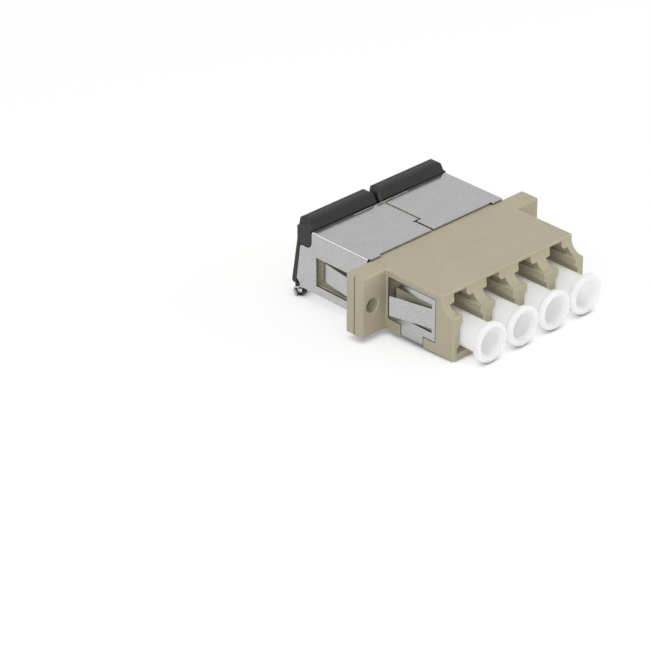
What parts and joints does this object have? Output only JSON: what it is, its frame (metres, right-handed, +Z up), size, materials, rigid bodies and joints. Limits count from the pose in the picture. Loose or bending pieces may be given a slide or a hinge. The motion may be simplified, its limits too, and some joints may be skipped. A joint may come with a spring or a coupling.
{
  "type": "fibre optic adapter",
  "caption": "Flanged panel adapter for small form factor fibre plugs, with push-in dust caps on one side and sprung shutters in a sheet steel frame on the other.",
  "frame": {"origin": "midway between the two flange holes, on the flange face that meets the panel", "axes": "+X along the row of ports, -Y towards the dust caps, +Y towards the shutters, +Z up, with the latch slots on top"},
  "size_m": [0.0346, 0.035, 0.0127],
  "materials": {
    "housing_plastic": "matte",
    "spring_sheet": "satin",
    "pin_steel": "polished",
    "sleeve_ceramic": "polished",
    "shutter_plastic": "satin",
    "label_film": "satin",
    "spring_wire": "polished",
    "cap_plastic": "satin"
  },
  "bodies": {
    "housing": {"housing_front": "housing_plastic", "housing_rear": "housing_plastic", "panel_clip": "spring_sheet", "shutter_frame": "spring_sheet", "hinge_pin": "pin_steel", "alignment_sleeve_1": "sleeve_ceramic", "alignment_sleeve_2": "sleeve_ceramic", "alignment_sleeve_3": "sleeve_ceramic", "alignment_sleeve_4": "sleeve_ceramic", "sleeve_holder_1": "housing_plastic", "sleeve_holder_2": "housing_plastic", "sleeve_holder_3": "housing_plastic", "sleeve_holder_4": "housing_plastic"},
    "flap_left": {"shutter_flap_left": "shutter_plastic", "flap_label_left": "label_film", "torsion_spring_left": "spring_wire"},
    "flap_right": {"shutter_flap_right": "shutter_plastic", "flap_label_right": "label_film", "torsion_spring_right": "spring_wire"},
    "cap_1": {"dust_cap_1": "cap_plastic"},
    "cap_2": {"dust_cap_2": "cap_plastic"},
    "cap_3": {"dust_cap_3": "cap_plastic"},
    "cap_4": {"dust_cap_4": "cap_plastic"}
  },
  "joints": [
    {"name": "flap_left_hinge", "type": "hinge", "parent": "housing", "child": "flap_left", "pos_m": [0, 0.0172, -0.00553], "axis": [-1, 0, 0], "range_deg": [0, 110], "stiffness_Nm_per_rad": 0.0003, "springref_deg": -28.65},
    {"name": "flap_right_hinge", "type": "hinge", "parent": "housing", "child": "flap_right", "pos_m": [0, 0.0172, -0.00553], "axis": [-1, 0, 0], "range_deg": [0, 110], "stiffness_Nm_per_rad": 0.0003, "springref_deg": -28.65},
    {"name": "cap_1_pull", "type": "slide", "parent": "housing", "child": "cap_1", "axis": [0, -1, 0], "range_m": [0, 0.012]},
    {"name": "cap_2_pull", "type": "slide", "parent": "housing", "child": "cap_2", "axis": [0, -1, 0], "range_m": [0, 0.012]},
    {"name": "cap_3_pull", "type": "slide", "parent": "housing", "child": "cap_3", "axis": [0, -1, 0], "range_m": [0, 0.012]},
    {"name": "cap_4_pull", "type": "slide", "parent": "housing", "child": "cap_4", "axis": [0, -1, 0], "range_m": [0, 0.012]}
  ]
}
